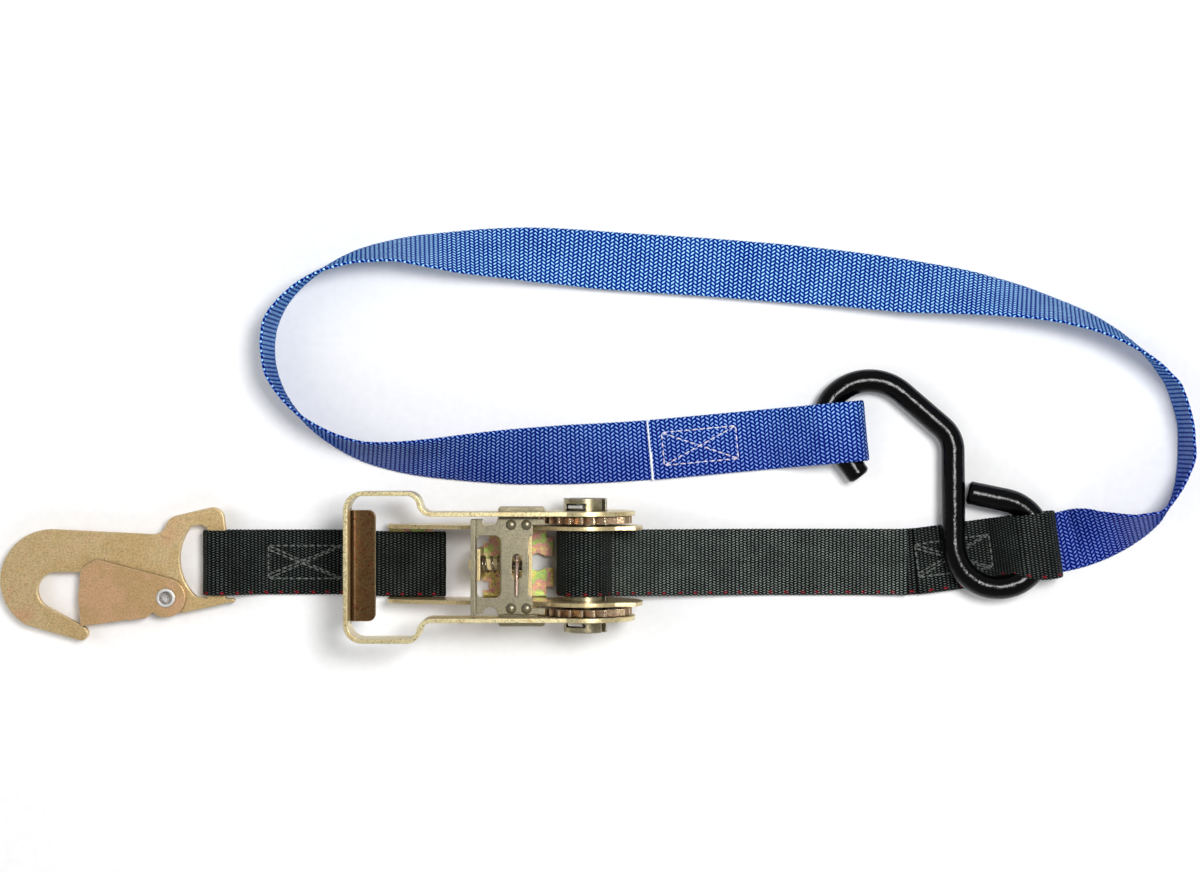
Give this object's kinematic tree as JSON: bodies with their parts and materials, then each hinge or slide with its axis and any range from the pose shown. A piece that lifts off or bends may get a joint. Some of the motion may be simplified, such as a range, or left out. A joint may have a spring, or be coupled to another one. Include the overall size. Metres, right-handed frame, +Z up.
{
  "type": "ratchet tie down strap",
  "caption": "Ratchet buckle on black webbing with a flat snap hook at one end and a coated S-hook with a blue soft-loop tie at the other, laid out flat for securing cargo.",
  "frame": {"origin": "middle of the laid-out tie down's bounding box, on the ground it lies on", "axes": "+X along the straps from the snap hook towards the S-hook, +Y across the layout towards the soft tie's loop, +Z up from the ground"},
  "size_m": [0.452, 0.1584, 0.0402],
  "materials": {
    "frame_zinc": "satin",
    "handle_zinc": "satin",
    "pawl_zinc": "satin",
    "mandrel_zinc": "satin",
    "wheel_bronze": "satin",
    "spring_steel": "satin",
    "bright_pin": "polished",
    "hook_bronze": "satin",
    "latch_bronze": "satin",
    "black_webbing": "matte",
    "blue_webbing": "matte",
    "grey_thread": "matte",
    "pale_thread": "matte",
    "black_vinyl": "gloss"
  },
  "bodies": {
    "frame": {"base_frame": "frame_zinc", "fixed_strap": "black_webbing", "fixed_strap_stitching": "grey_thread", "main_strap": "black_webbing", "strap_tail": "black_webbing", "main_strap_stitching": "grey_thread", "soft_tie_strap": "blue_webbing", "soft_tie_stitching": "pale_thread", "s_hook_rod": "spring_steel", "s_hook_coating": "black_vinyl", "lock_pawl_spring": "spring_steel"},
    "lock_pawl": {"lock_pawl": "pawl_zinc"},
    "spool": {"mandrel_half_upper": "mandrel_zinc", "mandrel_half_lower": "mandrel_zinc", "ratchet_wheels": "wheel_bronze", "mandrel_pins": "bright_pin", "spool_webbing": "black_webbing"},
    "handle": {"handle_frame": "handle_zinc", "spring_bridge": "handle_zinc", "drive_pawl_spring": "spring_steel"},
    "drive_pawl": {"drive_pawl": "pawl_zinc", "pawl_ear_plates": "pawl_zinc", "pawl_rivets": "pawl_zinc", "pawl_split_pin": "bright_pin"},
    "snap_hook": {"snap_hook_plate": "hook_bronze", "hook_rivet": "bright_pin", "latch_spring": "spring_steel"},
    "hook_latch": {"hook_latch": "latch_bronze"}
  },
  "joints": [
    {"name": "handle_swing", "type": "hinge", "parent": "frame", "child": "handle", "pos_m": [-0.00293, -0.04943, 0.0215], "axis": [0, 1, 0], "range_deg": [0, 175]},
    {"name": "drive_pawl_slide", "type": "slide", "parent": "handle", "child": "drive_pawl", "axis": [-1, 0, 0], "range_m": [-0.0014, 0.0032], "deforming": ["drive_pawl_spring"]},
    {"name": "lock_pawl_slide", "type": "slide", "parent": "frame", "child": "lock_pawl", "axis": [-1, 0, 0], "range_m": [-0.0016, 0.0032], "deforming": ["lock_pawl_spring"]},
    {"name": "spool_spin", "type": "hinge", "parent": "frame", "child": "spool", "pos_m": [-0.00293, -0.04943, 0.0215], "axis": [0, 1, 0], "continuous": true},
    {"name": "snap_hook_swing", "type": "hinge", "parent": "frame", "child": "snap_hook", "pos_m": [-0.14383, -0.04943, 0.0053], "axis": [0, 1, 0], "range_deg": [0, 60]},
    {"name": "hook_latch_swing", "type": "hinge", "parent": "snap_hook", "child": "hook_latch", "pos_m": [-0.16283, -0.06278, 0.0053], "axis": [0, 0, -1], "range_deg": [0, 28], "deforming": ["latch_spring"]}
  ]
}
